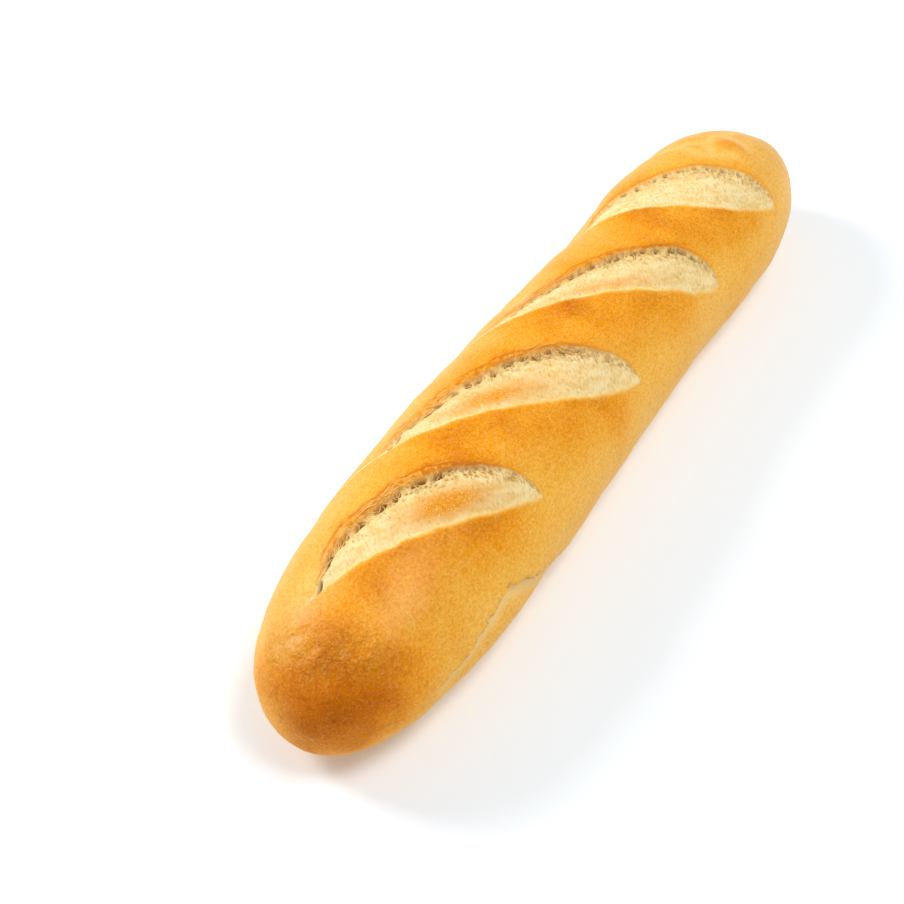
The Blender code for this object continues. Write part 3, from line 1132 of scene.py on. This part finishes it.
pores = add_node(tree, "ShaderNodeTexVoronoi", 2, 12)
links.new(add_stretched(1, 12, 1.0, 0.40), pores.inputs["Vector"])
pores.inputs["Scale"].default_value = 0.85
pore_size = times(3, 13, add_noise(tree, 2, 13, tear_place, 0.5, 2.0), 0.42)
pore_depth = less(4, 13, pore_size, pores.outputs["Distance"])
pore_soft = add_range(tree, 5, 13, pore_depth, 0.0, 0.10)
pore_strength = plus(5, 14, times(4, 14.5, lace, 0.40), 0.38)
# Painted shade in the pores of the crumb.
painted_pore_shade = times(5, 12, pore_soft, pore_strength)
crumb_colour = add_mix(tree, 6, 11, painted_pore_shade, crumb_colour, shade(164, 122, 62))
net_place = add_stretched(1, 18, 1.0, 0.55)
net = add_node(tree, "ShaderNodeTexVoronoi", 2, 18, feature="DISTANCE_TO_EDGE")
net_cell = add_node(tree, "ShaderNodeTexVoronoi", 2, 19)
for node in (net, net_cell):
    links.new(net_place, node.inputs["Vector"])
    node.inputs["Scale"].default_value = NET_SCALE
net_hole = add_range(tree, 3, 18, net.outputs["Distance"], 0.04, 0.22)
open_cell = times(4, 18, net_hole, net_cell.outputs["Color"])
# Painted shade in the open cells of the lace.
painted_lace_shade = times(5, 18, times(5, 19, open_cell, lace), 0.90)
crumb_colour = add_mix(tree, 6.5, 12, painted_lace_shade, crumb_colour, shade(190, 150, 88))

# %% Toasted crumb
toast_ground, toast_strokes = add_speckle(2, 14, place, 1100.0)
toast_level = times(4, 14, toast, add_range(tree, 3, 14, toast_ground, 0.24, 0.50))
crumb_colour = add_mix(tree, 7, 11, toast_level, crumb_colour, shade(232, 148, 26))
toast_threads = times(4, 15, toast, times(3, 15, toast_strokes, 0.9))
crumb_colour = add_mix(tree, 8, 11, toast_threads, crumb_colour, shade(250, 210, 120))

# %% Bring the colours together
colour = add_mix(tree, 10, 0, crumb, crust_colour, crumb_colour)
colour = add_mix(tree, 11, 0, times(9, 3, wall, 0.6), colour, shade(240, 205, 138))
ear_ground, ear_strokes = add_speckle(8, 16, place, 480.0)
ear_range = add_range(tree, 9, 16, ear_ground, 0.40, 0.60)
ear_colour = add_mix(tree, 9, 17, ear_range, shade(210, 122, 18), shade(240, 168, 58))
ear_colour = add_mix(tree, 10, 16, times(9, 18, ear_strokes, 0.8), ear_colour, shade(252, 206, 110))
colour = add_mix(tree, 11, 1, times(10, 17, ear_mask, 0.7), colour, ear_colour)
lip_level = times(9, 4, lip_mask, add_range(tree, 8, 4, fine_ground, 0.30, 0.62))
colour = add_mix(tree, 12, 0, lip_level, colour, shade(196, 100, 4))
colour = add_mix(tree, 13, 0, times(11, 5, rim, 0.7), colour, shade(250, 205, 118))
burst_colour = add_mix(tree, 11, 8, crust_ground, shade(244, 196, 116), shade(250, 216, 146))
colour = add_mix(tree, 14, 0, times(12, 8, burst_mask, 0.8), colour, burst_colour)
# Painted shade in the caves, holes and the burst's step.
colour = add_mix(tree, 15, 0, hollow_shade, colour, shade(158, 128, 78))
links.new(colour, shader.inputs["Base Color"])
print("the material has", len(tree.nodes), "nodes")

# %% [markdown]
# ## Sheen and fine relief
#
# Crust has a soft eggshell sheen, which a thin coat gives: more where it is smooth and pale, none on crumb.
# It has a very fine relief that is coarser where it wrinkled. Crumb is matt, with pores and grain. A little
# light goes through both, which softens the shading.

# %% Sheen
CRUST_ROUGHNESS = 0.40
CRUMB_ROUGHNESS = 0.9

roughness = add_node(tree, "ShaderNodeMapRange", 14, 3)
links.new(crumb, roughness.inputs["Value"])
roughness.inputs["To Min"].default_value = CRUST_ROUGHNESS
roughness.inputs["To Max"].default_value = CRUMB_ROUGHNESS
links.new(roughness.outputs["Result"], shader.inputs["Roughness"])
shader.inputs["Specular IOR Level"].default_value = 0.05
pale_crust = add_range(tree, 13, 4, bake_and_shade_mask, 0.80, 0.30)
gloss = times(14, 4, pale_crust, add_range(tree, 13, 5, crumb, 0.4, 0.0))
gloss = plus(14, 5, times(14, 6, gloss, 0.15), sheen)
links.new(gloss, shader.inputs["Coat Weight"])
shader.inputs["Coat Roughness"].default_value = 0.45
shader.inputs["Subsurface Weight"].default_value = 0.12
shader.inputs["Subsurface Scale"].default_value = 0.002

# %% Relief
WRINKLE_RELIEF = 40.0
PORE_RELIEF = 1.5
GRAIN_RELIEF = 0.8

relief = plus(12, 10, times(11, 10, crust_ground, 0.5), fine_ground)
wrinkles = add_noise(tree, 11, 12, place, 520.0, 3.0, 0.6, 1.2)
relief = plus(13, 10, relief, times(12, 12, wrinkles, times(11, 11, wrinkle, WRINKLE_RELIEF)))
relief = less(14, 10, relief, times(13, 12, times(12, 13, pore_soft, crumb), PORE_RELIEF))
relief = plus(15, 10, relief, times(14, 12, times(13, 13, grain, crumb), GRAIN_RELIEF))
bump = add_node(tree, "ShaderNodeBump", 16, 10)
bump.inputs["Strength"].default_value = 0.45
bump.inputs["Distance"].default_value = 0.0003
links.new(relief, bump.inputs["Height"])
links.new(bump.outputs["Normal"], shader.inputs["Normal"])
loaf.data.materials.append(bread)

# %% The threads' own material
thread_material = bpy.data.materials.new("baked_threads")
thread_material.use_nodes = True
thread_shader = thread_material.node_tree.nodes["Principled BSDF"]
thread_shader.inputs["Base Color"].default_value = shade(248, 205, 120)
thread_shader.inputs["Roughness"].default_value = 0.7
threads.data.materials.append(thread_material)

# %% [markdown]
# ## Finish
#
# The skin takes the place of the plain loaf in the frame, and the threads ride along with it.

# %% Finish
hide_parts("loaf")
for piece in (loaf, threads):
    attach(piece, "root")
